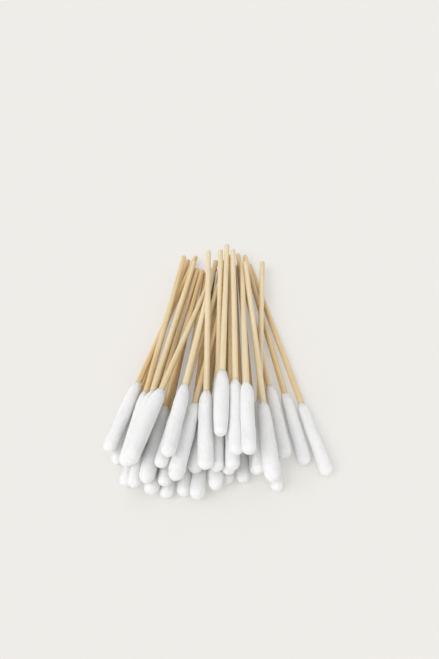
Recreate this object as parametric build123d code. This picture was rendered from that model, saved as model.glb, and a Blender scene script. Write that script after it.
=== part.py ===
from build123d import *

import math
import os

import numpy as np

# A loose bundle of long single-ended cotton swabs, lying as it was put down: plain wooden sticks
# with cotton wound round one end, tails gathered and heads fanned out. Millimetres, +Z up, heads
# towards -Y. The origin is under the middle of the bundle, on the surface it lies on.

# One swab
SWAB_LENGTH = 150.0
STICK_DIAMETER = 3.0
STICK_BEVEL = 0.25  # round the stick's cut ends
HEAD_DIAMETER = 6.4  # of a usual head
HEAD_LENGTH = 40.0  # cotton, from its thin neck to the swab's end
NECK_TAPER = 15.0  # stretch over which the cotton swells to its full width
NECK_COTTON = 0.15  # thickness of the cotton where it begins
END_COTTON = 2.5  # cotton beyond the stick's end
STICK_SHARE = 0.8  # of a swab's weight

# The bundle
CONTACT_GAP = 0.05  # between two swabs that touch
ROLL = 1.0  # how far either end of a swab may roll sideways to lie lower
LOWEST = 5  # swabs laid first, which share their two nodes
ROUGH_STEP = 2.0  # sampling along a swab while it rolls
FINE_STEP = 0.5  # sampling where it comes to rest

# Where each swab is laid, from the first to the last: x of its tail, x of its head's end, how far
# that end stands back from the front of the bundle, and how much wider than usual its head is wound.
LAID = (
    # on the surface or leaning just over it
    (-15.0, -39.0, 8.0, 0.0),
    (-7.5, -21.5, 2.5, 0.0),
    (-3.0, -15.5, 3.5, 0.0),
    (2.0, -9.5, 1.0, 0.0),
    (5.0, 3.0, 9.0, -0.4),
    (10.0, 11.0, 9.5, 0.0),
    (17.0, 25.0, 5.5, 0.0),
    (20.0, 47.0, 13.0, -0.2),
    (-18.5, -43.0, 17.5, 0.0),
    # in the gaps between those
    (-11.0, -26.5, 2.5, 0.0),
    (5.0, -2.0, 4.0, 0.0),
    (-6.0, -23.0, 4.5, -0.4),
    (13.0, 15.5, 11.0, -0.2),
    (18.0, 37.0, 18.0, -0.2),
    (-12.0, -33.5, 4.5, 0.0),
    (-13.5, -46.0, 20.0, -0.2),
    (3.0, -8.5, 9.5, 0.2),
    (8.0, 3.5, 9.0, -0.4),
    (-9.0, -29.0, 3.5, 0.2),
    # across them
    (-22.5, -37.0, 12.0, 0.0),
    (-16.0, -36.0, 9.0, 0.0),
    (9.5, -16.0, 2.5, 0.8),
    (-3.0, -34.5, 7.0, 0.4),
    (6.0, -22.0, 8.0, -0.6),
    (11.5, 28.0, 18.5, 0.0),
    (-0.5, -20.5, 8.5, 0.0),
    (26.5, 15.5, 8.0, -1.0),
    (6.5, 5.0, 7.5, 0.0),
    (0.5, 0.5, 8.5, -0.4),
    # on top
    (8.0, 6.5, 10.5, -0.4),
    (13.5, 11.0, 7.0, -0.4),
    (-7.0, -6.0, 7.0, 0.0),
    (5.5, 2.0, 18.0, 0.4),
    (15.5, 20.5, 1.0, 0.6),
)

STICK_RADIUS = STICK_DIAMETER / 2
STICK_LENGTH = SWAB_LENGTH - END_COTTON
WIDEST_HEAD = HEAD_DIAMETER + max(row[3] for row in LAID)
NECK = SWAB_LENGTH - HEAD_LENGTH
NECK_RADIUS = STICK_RADIUS + NECK_COTTON
TAPER_END = NECK + NECK_TAPER
BALANCE = STICK_SHARE * STICK_LENGTH / 2 + (1 - STICK_SHARE) * (NECK + HEAD_LENGTH / 2)


def swab_radii(along, head_radius):
    """Outer radius of a swab at each distance from its tail's end."""
    rise = head_radius - NECK_RADIUS
    arc = (NECK_TAPER**2 + rise**2) / (2 * rise)
    to_taper_end = np.clip(TAPER_END - along, 0, NECK_TAPER)
    cotton = head_radius - arc + np.sqrt(arc**2 - to_taper_end**2)
    past_dome_start = np.clip(along + head_radius - SWAB_LENGTH, 0, head_radius)
    dome = np.sqrt(head_radius**2 - past_dome_start**2)
    return np.where(along < NECK, STICK_RADIUS, np.minimum(cotton, dome))


def upper_hull(along, heights):
    """The points that a straight line laid on top of all of them can touch."""
    hull = []
    for point in zip(along, heights):
        while len(hull) > 1 and is_under(hull[-1], hull[-2], point):
            hull.pop()
        hull.append(point)
    return hull


def is_under(middle, before, after):
    """Whether the middle point lies on or under the line from before to after."""
    rise = (after[1] - before[1]) * (middle[0] - before[0])
    return (middle[1] - before[1]) * (after[0] - before[0]) <= rise


class Lying:
    """A swab at rest on the surface or on the swabs below it, as points along its axis."""

    def __init__(self, tail_x, head_x, head_y, head_radius, below, step):
        self.along = np.arange(0, SWAB_LENGTH + step / 2, step)
        self.radii = swab_radii(self.along, head_radius)
        self.tail_x = tail_x
        self.head_x = head_x
        self.head_y = head_y
        self.head_radius = head_radius
        self.left = min(tail_x, head_x)
        self.right = max(tail_x, head_x)
        self.slope = 0.0
        for _ in range(3):  # a new slope moves the points that touch
            self.lay_out()
            self.rest_on(below)
        self.lay_out()
        self.heights = self.tail_height + self.slope * self.along

    def lay_out(self):
        """Places the points in plan, back from the head's end. The slope shortens the swab there."""
        shrink = 1 / math.hypot(1, self.slope)
        side = (self.tail_x - self.head_x) / (SWAB_LENGTH * shrink)
        heading = np.array([side, math.sqrt(1 - side**2)])
        from_head = (SWAB_LENGTH - self.along) * shrink
        self.plan = np.array([self.head_x, self.head_y]) + np.outer(from_head, heading)

    def rest_on(self, below):
        """Lowers the swab until two contacts, one each side of where it balances, hold it."""
        least = self.radii.copy()
        for other in below:
            apart_squared = ((self.plan[:, None, :] - other.plan[None, :, :]) ** 2).sum(2)
            reach = self.radii[:, None] + other.radii[None, :] + CONTACT_GAP
            over = np.sqrt(np.clip(reach**2 - apart_squared, 0, None))
            held = np.where(over > 0, other.heights[None, :] + over, 0)
            least = np.maximum(least, held.max(1))
        hull = upper_hull(self.along, least)
        spans = [pair for pair in zip(hull, hull[1:]) if pair[0][0] <= BALANCE <= pair[1][0]]
        (start, start_height), (end, end_height) = spans[0]
        self.slope = (end_height - start_height) / (end - start)
        self.tail_height = start_height - self.slope * start

    def balance_height(self):
        return self.tail_height + self.slope * BALANCE

    def tail_point(self):
        return Vector(*self.plan[0], self.heights[0])

    def head_point(self):
        return Vector(*self.plan[-1], self.heights[-1])


def nearby(tail_x, head_x, lying):
    """The swabs already lying that a swab between these two ends could touch."""
    reach = WIDEST_HEAD + 2 * ROLL
    low = min(tail_x, head_x) - reach
    high = max(tail_x, head_x) + reach
    return [other for other in lying if other.right > low and other.left < high]


def lay_bundle():
    """Lays the swabs one by one. Each rolls to the lowest rest in reach."""
    rough = []
    fine = []
    for tail_x, head_x, head_y, extra_width in LAID:
        radius = (HEAD_DIAMETER + extra_width) / 2
        close = nearby(tail_x, head_x, rough)
        tries = []
        for tail_roll in (0, -ROLL, ROLL):
            for head_roll in (0, -ROLL, ROLL):
                tail = tail_x + tail_roll
                head = head_x + head_roll
                tries.append(Lying(tail, head, head_y, radius, close, ROUGH_STEP))
        lowest = min(tries, key=Lying.balance_height)
        rough.append(lowest)
        close = nearby(tail_x, head_x, fine)
        fine.append(Lying(lowest.tail_x, lowest.head_x, head_y, radius, close, FINE_STEP))
    return fine


def make_stick():
    """The stick, standing on its tail."""
    stick = Cylinder(STICK_RADIUS, STICK_LENGTH, align=(Align.CENTER, Align.CENTER, Align.MIN))
    ends = stick.edges().filter_by(GeomType.CIRCLE)
    return chamfer(ends, STICK_BEVEL)


def make_tip(head_radius):
    """The cotton wound round the stick's end, with the blind bore that the stick leaves in it."""
    dome_start = SWAB_LENGTH - head_radius
    neck = Line((STICK_RADIUS, NECK), (NECK_RADIUS, NECK))
    taper = TangentArc((head_radius, TAPER_END), (NECK_RADIUS, NECK), tangent=(0, -1))
    side = Line((head_radius, TAPER_END), (head_radius, dome_start))
    dome = TangentArc((head_radius, dome_start), (0, SWAB_LENGTH), tangent=(0, 1))
    middle = Line((0, SWAB_LENGTH), (0, STICK_LENGTH))
    bore_floor = Line((0, STICK_LENGTH), (STICK_RADIUS - STICK_BEVEL, STICK_LENGTH))
    bore_bevel = Line((STICK_RADIUS - STICK_BEVEL, STICK_LENGTH), (STICK_RADIUS, STICK_LENGTH - STICK_BEVEL))
    bore_wall = Line((STICK_RADIUS, STICK_LENGTH - STICK_BEVEL), (STICK_RADIUS, NECK))
    outline = [neck, taper, side, dome, middle, bore_floor, bore_bevel, bore_wall]
    half = Plane.XZ * make_face(Wire.combine([line.edge() for line in outline])[0])
    return revolve(half, Axis.Z)


def placed(piece, swab):
    """A copy of an upright piece, moved to lie along a swab's axis."""
    tail = swab.tail_point()
    direction = swab.head_point() - tail
    axis = Plane(origin=tail, x_dir=Vector(0, 0, 1).cross(direction), z_dir=direction)
    return piece.moved(axis.location)


def write_node(name, pieces):
    node = pieces[0] if len(pieces) == 1 else Compound(children=pieces)
    node.label = name
    export_step(node, f"parts/{name}.step")


def main():
    os.makedirs("parts", exist_ok=True)
    bundle = lay_bundle()
    stick = make_stick().solid()
    sticks = [placed(stick, swab) for swab in bundle]
    tips = [placed(make_tip(swab.head_radius).solid(), swab) for swab in bundle]

    box = Compound(sticks + tips).bounding_box()
    centring = Pos(-box.center().X, -box.center().Y, -box.min.Z)
    sticks = [piece.moved(centring) for piece in sticks]
    tips = [piece.moved(centring) for piece in tips]

    write_node("lowest_sticks", sticks[:LOWEST])
    write_node("lowest_tips", tips[:LOWEST])
    for index in range(LOWEST, len(bundle)):
        write_node(f"swab_{index + 1:02d}_stick", [sticks[index]])
        write_node(f"swab_{index + 1:02d}_tip", [tips[index]])


main()
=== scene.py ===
import math

import bpy
import numpy as np
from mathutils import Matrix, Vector


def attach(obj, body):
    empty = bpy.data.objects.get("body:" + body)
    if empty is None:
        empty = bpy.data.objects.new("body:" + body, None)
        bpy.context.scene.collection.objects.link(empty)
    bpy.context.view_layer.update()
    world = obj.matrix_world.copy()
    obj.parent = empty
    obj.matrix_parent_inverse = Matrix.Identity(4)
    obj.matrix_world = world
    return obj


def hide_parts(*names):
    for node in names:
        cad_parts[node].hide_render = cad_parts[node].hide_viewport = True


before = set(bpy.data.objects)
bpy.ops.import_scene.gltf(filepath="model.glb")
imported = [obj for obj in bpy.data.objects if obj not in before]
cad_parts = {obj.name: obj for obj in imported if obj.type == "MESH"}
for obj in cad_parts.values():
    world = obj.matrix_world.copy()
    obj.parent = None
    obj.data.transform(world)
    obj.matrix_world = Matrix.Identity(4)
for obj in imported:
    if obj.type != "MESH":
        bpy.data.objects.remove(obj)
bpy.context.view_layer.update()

MM = 0.001  # lengths here are in millimetres where no unit is named
SEED = 34

# The swabs, as packed
LOWEST = 5  # swabs that share their two nodes
SWABS = 34
STICK_RADIUS = 1.5

# Cotton tips
TIP_AROUND = 72
TIP_BODY_RINGS = 84
TIP_DOME_RINGS = 20
NECK_EDGE = 0.07  # thickness of the cotton's ragged edge
NECK_RAGGED = 1.6  # how far that edge wanders along the stick
RAGGED_STRETCH = 6.0  # over which the rings past the edge straighten out
LUMPS = 0.075  # height of the long unevenness
FELT = 0.022  # height of the short unevenness
SEAM_WIDTH = 0.9  # half the width of the spiral groove between turns of the roving
OVAL = 0.018  # share by which a head is out of round
LEAN = 0.12  # how far a head's end stands off its stick's axis
THINNEST = 0.12  # cotton left over the stick where something presses
PRESS_GAP = 0.02  # between a pressed tip and what presses it
FLOOR_GAP = 0.02
THICK_COTTON = 0.55  # thickness from which the stick's colour no longer shows through
COVERED_FROM = 7.0  # distance past the neck from which it never does
TURN_OF_FIBRES = 0.045  # how fast the look's fibres wind round, in radians for each millimetre
TIP_LOOK_SHIFT = 97.0  # keeps one head's pattern apart from the next one's

# Loose fibres
FIBRE_RADIUS = 0.013
FIBRE_POINTS = 7
ROOT_DEPTH = 0.03  # how deep a fibre's fixed end sits in the head
FIBRE_WAVE = 0.05  # how far a fibre waves above and below its course
COLUMN_WIDTH = 0.28  # of one column of a usual head's surface
TINY = 1e-9  # keeps a direction of no length from dividing by nothing

# On every head, a layer a line: how many fibres, how long, how far their ends lift, and the stretch
# of the head's rings on which they start
FIBRE_LAYERS = (
    (110, (2.5, 8.0), (0.02, 0.28), (0.0, 0.97)),  # lying close
    (9, (3.0, 7.0), (0.4, 1.2), (0.0, 0.97)),  # wisps
    (24, (1.5, 4.0), (0.0, 0.25), (0.0, 0.08)),  # over the neck's edge
)
TUFT = (150, (2.0, 6.0), (0.5, 2.4), (0.05, 0.42))
TUFT_SIDES = {32: (60, 86), 33: (22, 48)}  # columns where cotton has worked loose beside the neck

# Sticks
STICK_AROUND = 28
STICK_RINGS = 60
END_RINGS = 5  # across the cut end, and as many round its broken rim
END_ROUND = 0.45
ROUNDNESS = 0.988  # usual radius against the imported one
WAVER = 0.006  # share by which that wavers
BOW = 0.14  # furthest that a stick's middle stands off its axis
MOST_SLANT = 9  # of a cut end, in degrees
SLANT_STRETCH = 6.0  # over which the rings past the end straighten out
CHIPS = 0.03
GRAIN_SHIFT = 211.0  # keeps one stick's grain apart from the next one's
LOOSE_TONE = 0.65  # share of a stick's tone that is its own
DEEP_PAINTED_SHADE = 0.4  # painted shade: how much darker the lowest sticks in the pile are painted

# Heads wound differently from the rest, by their swabs' numbers. taper: stretch over which the
# cotton swells. flare: how much thinner the head is there than at its end. narrowing: how much it
# thins again towards its end. knob: how marked the smaller knob at its end is. full: its width
# against the imported one. late: how far past the imported neck the cotton starts.
HEAD_SHAPES = {
    8: {"taper": 8.0, "flare": 0.22, "full": 1.10},
    14: {"taper": 8.0, "flare": 0.14, "full": 1.04},
    22: {"taper": 10.0, "narrowing": 0.04, "knob": 0.9},
    23: {"taper": 10.0, "full": 0.95},
    30: {"taper": 7.0, "narrowing": 0.0},
    31: {"taper": 7.5, "flare": 0.05},
    32: {"taper": 8.0, "narrowing": 0.02},
    33: {"taper": 14.0, "flare": 0.0, "narrowing": 0.16, "full": 1.03, "late": 3.0},
    34: {"taper": 7.5, "flare": 0.30, "knob": 0.35, "full": 1.04},
}

# Camera
SENSOR = 36.0
LENS = 27.64
EYE = (0.7, -180.1, 200.0)
LOOK_DOWN = 45  # degrees

# Floor and light
FLOOR_COLOUR = (0.863, 0.847, 0.815)
FLOOR_HALF = 6.0  # metres
FLOOR_GLOW = 0.4  # share of the floor's colour that the camera sees without its shadows
SKY = 0.7  # share of the light that comes from all round
OVERHEAD = 0.04  # share from a broad lamp above
KEY = 1 - SKY - OVERHEAD
KEY_TO = Vector((-0.52, -0.42, 0.74)).normalized()
KEY_WIDTH = 40  # degrees
OVERHEAD_TO = Vector((-0.1, -0.1, 0.99)).normalized()
OVERHEAD_WIDTH = 100


# ---------------------------------------------------------------- where the swabs lie


def solids(node):
    """The points of each separate solid of a CAD node, in millimetres."""
    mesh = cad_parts[node].data
    points = np.array([vertex.co for vertex in mesh.vertices]) / MM
    places, at = np.unique(points.round(4), axis=0, return_inverse=True)
    ends = at.reshape(-1)[np.array([edge.vertices for edge in mesh.edges])]
    group = np.arange(len(places))
    while True:  # each point takes its neighbours' lowest number until none changes
        lowest = group.copy()
        np.minimum.at(lowest, ends[:, 0], group[ends[:, 1]])
        np.minimum.at(lowest, ends[:, 1], group[ends[:, 0]])
        lowest = lowest[lowest]
        if (lowest == group).all():
            break
        group = lowest
    return [places[group == number] for number in np.unique(group)]


class Swab:
    """One packed swab: its axis from the stick, its head's size from the cotton."""

    def __init__(self, number, nodes, stick, tip):
        self.number = number
        self.stick_node, self.tip_node = nodes
        middle = stick.mean(0)
        axis = np.linalg.svd(stick - middle, full_matrices=False)[2][0]
        self.axis = axis if axis[1] < 0 else -axis
        reach = (stick - middle) @ self.axis
        self.tail = middle + reach.min() * self.axis
        self.stick_length = reach.max() - reach.min()
        across = np.cross((0, 0, 1), self.axis)
        self.across = across / np.linalg.norm(across)
        self.up = np.cross(self.axis, self.across)
        along, off = self.measure(tip)
        self.neck = along.min()
        self.length = along.max()
        self.head_radius = off.max()

    def measure(self, points):
        """How far points lie along the swab from its tail, and from its axis."""
        along = (points - self.tail) @ self.axis
        off = np.linalg.norm(points - self.tail - along[..., None] * self.axis, axis=-1)
        return along, off

    def place(self, x, y, along):
        """Points given in the swab's own frame, as points in the bundle's."""
        return (
            self.tail
            + x[..., None] * self.across
            + y[..., None] * self.up
            + along[..., None] * self.axis
        )


def read_swabs():
    swabs = []
    sticks = solids("lowest_sticks")
    tips = solids("lowest_tips")
    for number, stick in enumerate(sticks, start=1):
        # the head whose middle lies nearest this stick's own axis
        probe = Swab(number, ("lowest_sticks", "lowest_tips"), stick, stick)
        tip = min(tips, key=lambda points: probe.measure(points.mean(0))[1])
        swabs.append(Swab(number, ("lowest_sticks", "lowest_tips"), stick, tip))
    for number in range(LOWEST + 1, SWABS + 1):
        nodes = (f"swab_{number:02d}_stick", f"swab_{number:02d}_tip")
        swabs.append(Swab(number, nodes, solids(nodes[0])[0], solids(nodes[1])[0]))
    return swabs


# ---------------------------------------------------------------- shapes


def waves(points, count, shortest, longest, rng):
    """A smooth random field of about unit size, made of waves of every direction."""
    field = np.zeros(points.shape[:-1])
    for _ in range(count):
        direction = rng.normal(size=3)
        direction /= np.linalg.norm(direction)
        length = rng.uniform(shortest, longest)
        field += np.cos(points @ direction * (2 * math.pi / length) + rng.uniform(0, 2 * math.pi))
    return field / math.sqrt(count / 2)


def smooth(x):
    x = np.clip(x, 0, 1)
    return x * x * (3 - 2 * x)


class Winding:
    """How one head is wound: its outline along the swab and what makes it uneven."""

    def __init__(self, swab, rng):
        self.swab = swab
        shape = {
            "taper": rng.uniform(8, 12),
            "flare": rng.uniform(0, 0.10),
            "narrowing": rng.uniform(0, 0.06),
            "knob": rng.uniform(0, 0.25),
            "full": rng.uniform(0.99, 1.03),
            "late": rng.uniform(0, 0.8),
        }
        shape.update(HEAD_SHAPES.get(swab.number, {}))
        self.taper = shape["taper"]
        self.flare = shape["flare"]
        self.narrowing = shape["narrowing"]
        self.knob = shape["knob"]
        self.neck = swab.neck + shape["late"]
        self.size = swab.length - self.neck
        self.radius = swab.head_radius * shape["full"]
        self.swell = rng.uniform(2.0, 2.6)
        self.dome = self.radius * rng.uniform(0.85, 1.15)
        self.dome_power = rng.uniform(1.9, 2.3)

    def outline(self, past_neck):
        """The head's radius at each distance from its neck."""
        start = STICK_RADIUS + NECK_EDGE
        rise = 1 - (1 - np.clip(past_neck / self.taper, 0, 1)) ** self.swell
        body = start + (self.radius - start) * rise
        body *= 1 - self.flare * (1 - np.clip(past_neck / self.size / 0.85, 0, 1)) * rise
        second_half = (past_neck - 0.45 * self.size) / (0.55 * self.size)
        body *= 1 - self.narrowing * smooth(second_half)
        past_step = past_neck - (self.size - self.dome - 1.6)  # the knob's step, before the dome
        body *= 1 - 0.13 * self.knob * smooth(past_step / 1.4)
        in_dome = np.clip((past_neck - self.size + self.dome) / self.dome, 0, 1)
        return body * (1 - in_dome**self.dome_power) ** (1 / self.dome_power)


def swab_radius(winding, along):
    """Outer radius of a whole swab at each distance from its tail, or none past its ends."""
    swab = winding.swab
    cotton = winding.outline(np.clip(along - winding.neck, 0, winding.size))
    radius = np.where(along < winding.neck, STICK_RADIUS, cotton)
    return np.where((along < 0) | (along > swab.length), 0, radius)


def tip_grid(winding, rng):
    """The head's surface as rings of (x, y, along) in the swab's frame."""
    body = np.linspace(0, winding.size - winding.dome, TIP_BODY_RINGS, endpoint=False)
    turn = np.linspace(0, math.pi / 2, TIP_DOME_RINGS, endpoint=False)
    rings = np.concatenate([body, winding.size - winding.dome * (1 - np.sin(turn))])
    angle = np.linspace(0, 2 * math.pi, TIP_AROUND, endpoint=False)
    past, angle = np.meshgrid(rings, angle, indexing="ij")

    # the cotton's edge on the stick wanders, more so than anything further on
    circle = np.stack([3 * np.cos(angle), 3 * np.sin(angle), 0 * angle], -1)
    edge = waves(circle, 9, 1.2, 5, rng)
    straightened = np.clip(past / RAGGED_STRETCH, 0, 1)
    ragged = NECK_RAGGED * (0.5 + 0.25 * edge).clip(0, 1) * (1 - straightened)
    radius = winding.outline(past)
    on_body = smooth(past / 9) * np.sqrt(np.clip((winding.size - past) / winding.dome, 0, 1))
    spot = np.stack([radius * np.cos(angle), radius * np.sin(angle), past], -1)
    radius = radius + on_body * LUMPS * waves(spot * (1, 1, 0.7), 16, 6, 15, rng)
    radius += smooth(past / 3) * FELT * waves(spot * (1, 1, 0.55), 26, 1.6, 4, rng)

    # the roving is laid on in a spiral, whose seam shows as a shallow groove
    pitch = rng.uniform(9, 15)
    seam = (past / pitch + angle / (2 * math.pi) + rng.uniform(0, 1)) % 1
    from_seam = np.minimum(seam, 1 - seam) * pitch
    fade = 0.5 + 0.5 * waves(spot, 8, 8, 20, rng)
    groove = rng.uniform(0.05, 0.11) * np.exp(-((from_seam / SEAM_WIDTH) ** 2))
    radius -= on_body * groove * fade.clip(0, 1)

    squash = rng.uniform(0, math.pi)
    radius *= 1 + on_body * OVAL * np.cos(2 * (angle - squash))
    off_centre = rng.uniform(0, 2 * math.pi)
    lean = LEAN * smooth(past / winding.size)
    x = radius * np.cos(angle) + lean * math.cos(off_centre)
    y = radius * np.sin(angle) + lean * math.sin(off_centre)
    return x, y, winding.neck + np.minimum(past + ragged, winding.size)


def pressed(winding, x, y, along, windings):
    """The head's surface, pressed in where the floor or another swab meets it."""
    swab = winding.swab
    least = STICK_RADIUS + THINNEST
    for _ in range(3):
        points = swab.place(x, y, along)
        off = np.hypot(x, y)
        inward = np.zeros_like(off)
        for other in windings:
            if other is winding:
                continue
            at, apart = other.swab.measure(points)
            limit = swab_radius(other, at)
            share = np.where(at < other.neck, 1.0, 0.5)
            inward = np.maximum(inward, (limit + PRESS_GAP - apart) * share * (limit > 0))
        inward = np.maximum(inward, FLOOR_GAP - points[..., 2])
        off_new = np.where(inward > 0, np.maximum(off - inward, np.minimum(off, least)), off)
        scale = off_new / np.maximum(off, 1e-9)
        x, y = x * scale, y * scale
    return x, y, along


def fibre_tubes(points, outward, radius):
    """Closed three-sided tubes, pointed at both ends, along rows of points."""
    count, steps = points.shape[:2]
    heading = np.gradient(points, axis=1)
    heading /= np.linalg.norm(heading, axis=-1, keepdims=True) + 1e-12
    side = np.cross(heading, outward)
    side /= np.linalg.norm(side, axis=-1, keepdims=True) + 1e-12
    other = np.cross(side, heading)
    corners = []
    for corner in range(3):
        turn = 2 * math.pi * corner / 3
        corners.append(points + radius * (math.cos(turn) * side + math.sin(turn) * other))
    middle = np.stack(corners, 2)[:, 1:-1]
    size = 2 + 3 * (steps - 2)
    verts = np.concatenate([points[:, :1], middle.reshape(count, -1, 3), points[:, -1:]], 1)
    faces = []
    for corner in range(3):
        beside = (corner + 1) % 3
        faces.append((0, 1 + corner, 1 + beside))
        for step in range(steps - 3):
            here, there = 1 + 3 * step, 4 + 3 * step
            faces.append((here + corner, there + beside, here + beside))
            faces.append((here + corner, there + corner, there + beside))
        last = 1 + 3 * (steps - 3)
        faces.append((last + corner, size - 1, last + beside))
    every = np.array(faces)[None] + (size * np.arange(count))[:, None, None]
    return verts.reshape(-1, 3), every.reshape(-1, 3)


def on_surface(surface, ring, column):
    """Points between a head's rings and columns, which join up all round."""
    low = ring.astype(int)
    past_ring = (ring - low)[..., None]
    left = np.floor(column).astype(int) % TIP_AROUND
    past_column = (column - np.floor(column))[..., None]
    right = (left + 1) % TIP_AROUND
    near = surface[low, left] * (1 - past_column) + surface[low, right] * past_column
    far = surface[low + 1, left] * (1 - past_column) + surface[low + 1, right] * past_column
    return near * (1 - past_ring) + far * past_ring


def fibres(winding, surface, count, length, lift, starts, sides, rng):
    """Cotton fibres that lie on the head and rise from it at their loose ends."""
    rings = len(surface)
    start = rng.uniform(*starts, count) * (rings - 1)
    around = rng.uniform(*sides, count)
    step = np.linspace(0, 1, FIBRE_POINTS)[None, :]
    size = rng.uniform(*length, count)[:, None] * rng.choice((-1, 1), count)[:, None]
    slant = rng.normal(0, 0.35, count)[:, None]
    ring = start[:, None] + size * step / winding.size * rings * np.cos(slant)
    ring = np.clip(ring, 0, rings - 1.001)
    curl = rng.normal(0, 0.5, count)[:, None] * step**2
    column = around[:, None] + (size * step * np.sin(slant) + curl) / COLUMN_WIDTH
    spot = on_surface(surface, ring, column)

    outward = spot * (1, 1, 0)
    outward /= np.linalg.norm(outward, axis=-1, keepdims=True) + TINY
    dome_start = winding.swab.length - winding.dome
    on_dome = smooth((spot[..., 2] - dome_start) / winding.dome)[..., None]
    outward = outward * (1 - on_dome) + np.array((0, 0, 1.0)) * on_dome
    outward /= np.linalg.norm(outward, axis=-1, keepdims=True) + TINY
    height = rng.uniform(*lift, count)[:, None] * step**1.6 - ROOT_DEPTH
    height += FIBRE_WAVE * np.sin(math.pi * step * rng.uniform(1, 3, count)[:, None])
    points = spot + outward * height[..., None]
    return fibre_tubes(points, outward, FIBRE_RADIUS * rng.uniform(0.7, 1.3, (count, 1, 1)))


def ring_faces(rings, around):
    """Quads between rings of points, wound so that they face outwards."""
    ring, column = np.meshgrid(np.arange(rings - 1), np.arange(around), indexing="ij")
    beside = (column + 1) % around
    quad = [ring * around + column, ring * around + beside]
    quad += [(ring + 1) * around + beside, (ring + 1) * around + column]
    return np.stack(quad, -1).reshape(-1, 4)


def fan(centre, first, around, flip=False):
    """Triangles from a centre point to a ring that starts at the point called first."""
    column = np.arange(around)
    beside = (column + 1) % around
    rim = (first + beside, first + column) if flip else (first + column, first + beside)
    return np.stack([np.full(around, centre), *rim], -1)


def new_piece(name, swab, local, faces, attributes):
    """A mesh object from points in a swab's frame, in millimetres."""
    placed = swab.place(local[:, 0], local[:, 1], local[:, 2])
    placed[:, 2] = np.maximum(placed[:, 2], FLOOR_GAP * 0.5)
    mesh = bpy.data.meshes.new(name)
    polygons = [face for block in faces for face in block.tolist()]
    mesh.from_pydata((placed * MM).tolist(), [], polygons)
    for key, values in attributes.items():
        kind = "FLOAT_VECTOR" if values.ndim == 2 else "FLOAT"
        field = "vector" if values.ndim == 2 else "value"
        layer = mesh.attributes.new(key, kind, "POINT")
        layer.data.foreach_set(field, values.astype(np.float32).ravel())
    mesh.polygons.foreach_set("use_smooth", np.ones(len(mesh.polygons), bool))
    mesh.update()
    piece = bpy.data.objects.new(name, mesh)
    bpy.context.scene.collection.objects.link(piece)
    return piece


def tip_body(surface, swab):
    """A head's surface closed by the bore that holds the stick: its points and its faces."""
    rings = len(surface)
    outer = surface.reshape(-1, 3)
    end = np.array([[*surface[-1, :, :2].mean(0), swab.length]])
    angle = np.linspace(0, 2 * math.pi, TIP_AROUND, endpoint=False)
    x, y = STICK_RADIUS * np.cos(angle), STICK_RADIUS * np.sin(angle)
    mouth = np.stack([x, y, surface[0, :, 2]], -1)
    bottom = mouth.copy()
    bottom[:, 2] = swab.stick_length
    middle = np.array([[0, 0, swab.stick_length]])

    end_point = len(outer)
    mouth_start = end_point + 1
    bottom_start = mouth_start + TIP_AROUND
    middle_point = bottom_start + TIP_AROUND
    column = np.arange(TIP_AROUND)
    beside = (column + 1) % TIP_AROUND
    faces = [
        ring_faces(rings, TIP_AROUND),
        fan(end_point, end_point - TIP_AROUND, TIP_AROUND),
        np.stack([column, mouth_start + column, mouth_start + beside, beside], -1),
        ring_faces(2, TIP_AROUND)[:, ::-1] + mouth_start,
        fan(middle_point, bottom_start, TIP_AROUND, flip=True),
    ]
    return np.concatenate([outer, end, mouth, bottom, middle]), faces


def tip_attributes(local, winding):
    """Where each point lies in the wound fibres, and how well the cotton covers the stick there."""
    past = local[:, 2] - winding.neck
    twist = TURN_OF_FIBRES * past
    wound_x = local[:, 0] * np.cos(twist) - local[:, 1] * np.sin(twist)
    wound_y = local[:, 0] * np.sin(twist) + local[:, 1] * np.cos(twist)
    wound_z = local[:, 2] + TIP_LOOK_SHIFT * winding.swab.number
    thickness = np.hypot(local[:, 0], local[:, 1]) - STICK_RADIUS
    cover = np.clip(np.maximum(thickness / THICK_COTTON, past / COVERED_FROM), 0, 1)
    return {"wound": np.stack([wound_x, wound_y, wound_z], -1), "cover": cover}


def make_tip(winding, windings, rng, material):
    """One wound head: its surface, the bore that holds the stick, and loose fibres."""
    swab = winding.swab
    x, y, along = pressed(winding, *tip_grid(winding, rng), windings)
    surface = np.stack([x, y, along], -1)
    local, faces = tip_body(surface, swab)

    tufts = [fibres(winding, surface, *layer, (0, TIP_AROUND), rng) for layer in FIBRE_LAYERS]
    if swab.number in TUFT_SIDES:
        tufts.append(fibres(winding, surface, *TUFT, TUFT_SIDES[swab.number], rng))
    for points, triangles in tufts:
        faces.append(triangles + len(local))
        local = np.concatenate([local, points])

    attributes = tip_attributes(local, winding)
    piece = new_piece(f"tip_{swab.number:02d}", swab, local, faces, attributes)
    piece.data.materials.append(material)
    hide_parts(swab.tip_node)
    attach(piece, "root")
    return piece


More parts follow.
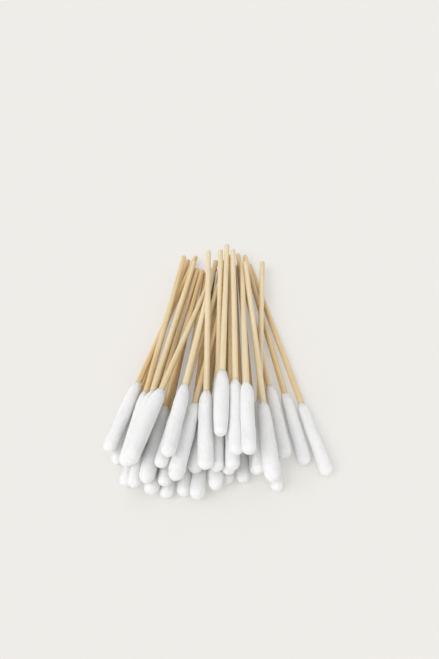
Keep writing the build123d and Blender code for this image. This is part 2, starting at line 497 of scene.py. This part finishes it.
def stick_grid(swab, rng):
    """A stick's surface as rings of (x, y, along), from the middle of its cut end."""
    end = END_ROUND * rng.uniform(0.6, 1.2)
    across = np.linspace(0.25, 1, END_RINGS) * (STICK_RADIUS - end)
    turn = np.linspace(0, math.pi / 2, END_RINGS + 1)[1:]
    side = np.linspace(end, swab.stick_length, STICK_RINGS)[1:]
    rings = np.concatenate([np.zeros(END_RINGS), end * (1 - np.cos(turn)), side])
    shrink = np.concatenate([STICK_RADIUS - across, end * (1 - np.sin(turn)), np.zeros(len(side))])
    angle = np.linspace(0, 2 * math.pi, STICK_AROUND, endpoint=False)
    along, angle = np.meshgrid(rings, angle, indexing="ij")

    # nearly round, with one side planed a little flat
    spot = np.stack([1.5 * np.cos(angle), 1.5 * np.sin(angle), along * 0.06], -1)
    waver = waves(spot, 10, 1.5, 6, rng).clip(-2, 2)
    radius = STICK_RADIUS * (ROUNDNESS + WAVER * waver)
    lean = np.cos(angle - rng.uniform(0, 2 * math.pi))
    planed = STICK_RADIUS * rng.uniform(0.95, 0.985) / np.maximum(lean, 0.5)
    radius = np.where(lean > 0.5, np.minimum(radius, planed), radius)
    radius = np.maximum(radius - shrink[:, None], 0.1)
    bow = rng.uniform(0, BOW) * np.sin(math.pi * along / swab.length)
    aside = rng.uniform(0, 2 * math.pi)
    x = radius * np.cos(angle) + bow * math.cos(aside)
    y = radius * np.sin(angle) + bow * math.sin(aside)

    # cut square enough, and chipped
    slant = math.tan(math.radians(rng.uniform(0, MOST_SLANT)))
    slant_side = rng.uniform(0, 2 * math.pi)
    at_end = 1 - np.clip(along / SLANT_STRETCH, 0, 1)
    slope = slant * (STICK_RADIUS + radius * np.cos(angle - slant_side)) * at_end
    chips = CHIPS * waves(spot * (2, 2, 1), 8, 0.7, 2, rng) * at_end**8
    return x, y, along + slope + np.abs(chips)


def make_stick(swab, rng, material):
    """One dowel: nearly round, faintly bowed, cut square enough and broken at the rim."""
    x, y, along = stick_grid(swab, rng)
    side = np.stack([x, y, along], -1).reshape(-1, 3)
    tail = np.array([[0, 0, along[0].mean()]])
    top = np.array([[0, 0, swab.stick_length]])
    count = len(side)
    local = np.concatenate([side, tail, top])
    faces = [
        ring_faces(len(x), STICK_AROUND),
        fan(count, 0, STICK_AROUND, flip=True),
        fan(count + 1, count - STICK_AROUND, STICK_AROUND),
    ]

    # each stick's tone is partly its own, at random, and partly painted shade: the lower it lies in
    # the pile, the darker and browner it is painted
    depth_in_pile = 1 - swab.number / SWABS
    tone_and_painted_shade = LOOSE_TONE * rng.uniform(0, 1) + DEEP_PAINTED_SHADE * depth_in_pile
    cut = np.zeros(len(local))
    cut[: END_RINGS * STICK_AROUND] = 1
    cut[count] = 1
    grain = local + (0, 0, GRAIN_SHIFT * swab.number)
    attributes = {"grain": grain, "tone_and_painted_shade": np.full(len(local), tone_and_painted_shade), "cut": cut}
    piece = new_piece(f"stick_{swab.number:02d}", swab, local, faces, attributes)
    piece.data.materials.append(material)
    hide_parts(swab.stick_node)
    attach(piece, "root")
    return piece


# ---------------------------------------------------------------- materials


class Look:
    """A material's nodes, added and joined by short calls."""

    def __init__(self, name):
        self.material = bpy.data.materials.new(name)
        self.material.use_nodes = True
        self.tree = self.material.node_tree
        self.surface = self.tree.nodes["Principled BSDF"]

    def node(self, kind, **settings):
        made = self.tree.nodes.new(kind)
        for key, value in settings.items():
            setattr(made, key, value)
        return made

    def feed(self, socket, value):
        if isinstance(value, bpy.types.NodeSocket):
            self.tree.links.new(value, socket)
        else:
            socket.default_value = value

    def attribute(self, name, output="Vector"):
        return self.node("ShaderNodeAttribute", attribute_name=name).outputs[output]

    def stretch(self, vector, factors):
        made = self.node("ShaderNodeVectorMath", operation="MULTIPLY")
        self.feed(made.inputs[0], vector)
        self.feed(made.inputs[1], factors)
        return made.outputs["Vector"]

    def noise(self, vector, scale, detail=4.0, roughness=0.5, distortion=0.0):
        made = self.node("ShaderNodeTexNoise")
        self.feed(made.inputs["Vector"], vector)
        self.feed(made.inputs["Scale"], scale)
        self.feed(made.inputs["Detail"], detail)
        self.feed(made.inputs["Roughness"], roughness)
        self.feed(made.inputs["Distortion"], distortion)
        return made.outputs["Fac"]

    def math(self, operation, first, second=0.0):
        made = self.node("ShaderNodeMath", operation=operation)
        self.feed(made.inputs[0], first)
        self.feed(made.inputs[1], second)
        return made.outputs[0]

    def ramp(self, value, *stops):
        """Colours between stops, each a place and a colour."""
        made = self.node("ShaderNodeValToRGB")
        self.feed(made.inputs["Fac"], value)
        elements = made.color_ramp.elements
        while len(elements) < len(stops):
            elements.new(0.5)
        for element, (place, colour) in zip(elements, stops):
            element.position = place
            element.color = (*colour, 1)
        return made.outputs["Color"]

    def span(self, value, low, high, to_low=0.0, to_high=1.0):
        """A value between low and high, spread over another range and held inside it."""
        made = self.node("ShaderNodeMapRange", clamp=True)
        for socket, number in zip(made.inputs, (value, low, high, to_low, to_high)):
            self.feed(socket, number)
        return made.outputs["Result"]

    def mix(self, share, first, second, blend="MIX"):
        """Two colours mixed. A mix node has a set of sockets for each type, so these go by place."""
        made = self.node("ShaderNodeMix", data_type="RGBA", blend_type=blend)
        self.feed(made.inputs["Factor"], share)
        self.feed(made.inputs[6], first)
        self.feed(made.inputs[7], second)
        return made.outputs[2]

    def bump(self, height, distance, strength=1.0, normal=None):
        made = self.node("ShaderNodeBump")
        self.feed(made.inputs["Height"], height)
        self.feed(made.inputs["Distance"], distance * MM)
        self.feed(made.inputs["Strength"], strength)
        if normal:
            self.feed(made.inputs["Normal"], normal)
        return made.outputs["Normal"]


def cotton_look():
    """Bleached cotton: near-white, matt, felted, its fibres wound round the stick."""
    look = Look("cotton")
    wound = look.attribute("wound")
    fibre = look.noise(look.stretch(wound, (1, 1, 0.09)), 3.4, 6, 0.62, 0.25)
    felt = look.noise(look.stretch(wound, (1, 1, 0.6)), 0.75, 4, 0.55)
    fuzz = look.noise(wound, 6.0, 3, 0.6)
    white = look.ramp(felt, (0.3, (0.885, 0.886, 0.887)), (0.62, (0.925, 0.925, 0.92)))
    white = look.mix(look.span(fibre, 0.36, 0.62, 0.0, 0.3), white, (0.945, 0.945, 0.94, 1))

    # the stick's colour shows through where the cotton thins out
    patchy = look.span(fibre, 0.3, 0.7, -0.35, 0.35)
    edge = look.math("ADD", look.attribute("cover", "Fac"), patchy)
    colour = look.mix(look.span(edge, -0.1, 0.75), (0.80, 0.69, 0.52, 1), white)
    look.feed(look.surface.inputs["Base Color"], colour)
    look.feed(look.surface.inputs["Roughness"], 1.0)
    look.feed(look.surface.inputs["Specular IOR Level"], 0.12)
    look.feed(look.surface.inputs["Sheen Weight"], 0.12)
    look.feed(look.surface.inputs["Sheen Roughness"], 0.5)
    look.feed(look.surface.inputs["Subsurface Weight"], 0.6)
    look.feed(look.surface.inputs["Subsurface Radius"], (1.0, 1.0, 0.95))
    look.feed(look.surface.inputs["Subsurface Scale"], 2.2 * MM)
    normal = look.bump(felt, 0.2)
    normal = look.bump(fibre, 0.06, normal=normal)
    normal = look.bump(fuzz, 0.015, normal=normal)
    look.feed(look.surface.inputs["Normal"], normal)
    return look.material


def wood_look():
    """Plain birch: cream to tan from stick to stick, with fine long grain and pores, and painted
    shade that darkens the sticks lying low in the pile.
    """
    look = Look("birch")
    grain = look.attribute("grain")
    streaks = look.noise(look.stretch(grain, (1, 1, 0.018)), 2.6, 6, 0.62, 0.4)
    bands = look.noise(look.stretch(grain, (1, 1, 0.03)), 0.6, 3, 0.5)
    pores = look.noise(look.stretch(grain, (1, 1, 0.07)), 7.5, 3, 0.55)
    banding = look.span(bands, 0.3, 0.7, -0.28, 0.28)
    tone_and_painted_shade = look.math("ADD", look.attribute("tone_and_painted_shade", "Fac"), banding)
    # cream to tan by each stick's own tone, and towards a deep brown for painted shade on the lower
    # sticks of the pile
    base = look.ramp(
        tone_and_painted_shade,
        (0.0, (0.885, 0.755, 0.525)),
        (0.45, (0.86, 0.71, 0.465)),
        (0.8, (0.80, 0.615, 0.345)),
        (1.0, (0.72, 0.50, 0.235)),
    )
    dark = look.mix(1.0, base, (0.78, 0.66, 0.49, 1), "MULTIPLY")
    colour = look.mix(look.span(streaks, 0.50, 0.72, 0.0, 0.75), base, dark)
    flecks = look.mix(1.0, base, (0.72, 0.60, 0.44, 1), "MULTIPLY")
    colour = look.mix(look.span(pores, 0.60, 0.70, 0.0, 0.55), colour, flecks)
    end_grain = look.noise(look.stretch(grain, (1, 1, 0)), 9.0, 4, 0.6)
    end_colour = look.ramp(end_grain, (0.35, (0.50, 0.35, 0.19)), (0.65, (0.74, 0.58, 0.37)))
    colour = look.mix(look.attribute("cut", "Fac"), colour, end_colour)
    look.feed(look.surface.inputs["Base Color"], colour)
    look.feed(look.surface.inputs["Roughness"], look.span(streaks, 0.3, 0.7, 0.55, 0.72))
    look.feed(look.surface.inputs["Specular IOR Level"], 0.35)
    normal = look.bump(streaks, 0.05)
    normal = look.bump(pores, 0.02, normal=normal)
    look.feed(look.surface.inputs["Normal"], normal)
    return look.material


# ---------------------------------------------------------------- camera, floor and light


def make_camera():
    camera = bpy.data.cameras.new("camera")
    camera.sensor_width = SENSOR
    camera.lens = LENS
    eye = bpy.data.objects.new("camera", camera)
    eye.location = [place * MM for place in EYE]
    eye.rotation_euler = (math.radians(LOOK_DOWN), 0, 0)
    bpy.context.scene.collection.objects.link(eye)
    bpy.context.scene.camera = eye


def make_floor():
    look = Look("floor")
    look.feed(look.surface.inputs["Base Color"], (*FLOOR_COLOUR, 1))
    look.feed(look.surface.inputs["Roughness"], 1.0)
    look.feed(look.surface.inputs["Specular IOR Level"], 0.0)
    glow = look.node("ShaderNodeEmission")
    look.feed(glow.inputs["Color"], (*FLOOR_COLOUR, 1))
    mix = look.node("ShaderNodeMixShader")
    path = look.node("ShaderNodeLightPath")
    look.feed(mix.inputs[0], look.math("MULTIPLY", path.outputs["Is Camera Ray"], FLOOR_GLOW))
    look.feed(mix.inputs[1], look.surface.outputs[0])
    look.feed(mix.inputs[2], glow.outputs[0])
    look.feed(look.tree.nodes["Material Output"].inputs["Surface"], mix.outputs[0])
    mesh = bpy.data.meshes.new("floor")
    half = FLOOR_HALF
    corners = [(-half, -half, 0), (half, -half, 0), (half, half, 0), (-half, half, 0)]
    mesh.from_pydata(corners, [], [(0, 1, 2, 3)])
    mesh.materials.append(look.material)
    floor = bpy.data.objects.new("floor", mesh)
    bpy.context.scene.collection.objects.link(floor)


def make_lamp(name, share, to, width):
    """A broad lamp that gives the floor a share of its light."""
    lamp = bpy.data.lights.new(name, "SUN")
    lamp.energy = share * math.pi / to.z
    lamp.angle = math.radians(width)
    sun = bpy.data.objects.new(name, lamp)
    sun.rotation_euler = to.to_track_quat("Z", "Y").to_euler()
    bpy.context.scene.collection.objects.link(sun)


def make_light():
    """Soft lamps from the upper left and above, and a white room in the floor's colour."""
    make_lamp("key", KEY, KEY_TO, KEY_WIDTH)
    make_lamp("overhead", OVERHEAD, OVERHEAD_TO, OVERHEAD_WIDTH)

    world = bpy.data.worlds.new("room")
    bpy.context.scene.world = world
    world.use_nodes = True
    tree = world.node_tree
    tree.nodes.clear()
    output = tree.nodes.new("ShaderNodeOutputWorld")
    mix = tree.nodes.new("ShaderNodeMixShader")
    light = tree.nodes.new("ShaderNodeBackground")
    light.inputs["Color"].default_value = (1, 1, 1, 1)
    light.inputs["Strength"].default_value = SKY
    shown = tree.nodes.new("ShaderNodeBackground")
    shown.inputs["Color"].default_value = (*FLOOR_COLOUR, 1)
    path = tree.nodes.new("ShaderNodeLightPath")
    seen = path.outputs["Is Camera Ray"]
    for ray in ("Is Glossy Ray", "Is Transmission Ray"):
        either = tree.nodes.new("ShaderNodeMath")
        either.operation = "MAXIMUM"
        tree.links.new(seen, either.inputs[0])
        tree.links.new(path.outputs[ray], either.inputs[1])
        seen = either.outputs[0]
    tree.links.new(seen, mix.inputs[0])
    tree.links.new(light.outputs[0], mix.inputs[1])
    tree.links.new(shown.outputs[0], mix.inputs[2])
    tree.links.new(mix.outputs[0], output.inputs[0])


def main():
    bpy.context.scene.view_settings.view_transform = "Standard"
    make_camera()
    make_floor()
    make_light()
    cotton = cotton_look()
    wood = wood_look()
    windings = []
    for swab in read_swabs():
        windings.append(Winding(swab, np.random.default_rng((SEED, swab.number, 0))))
    for winding in windings:
        number = winding.swab.number
        make_stick(winding.swab, np.random.default_rng((SEED, number, 1)), wood)
        make_tip(winding, windings, np.random.default_rng((SEED, number, 2)), cotton)


main()
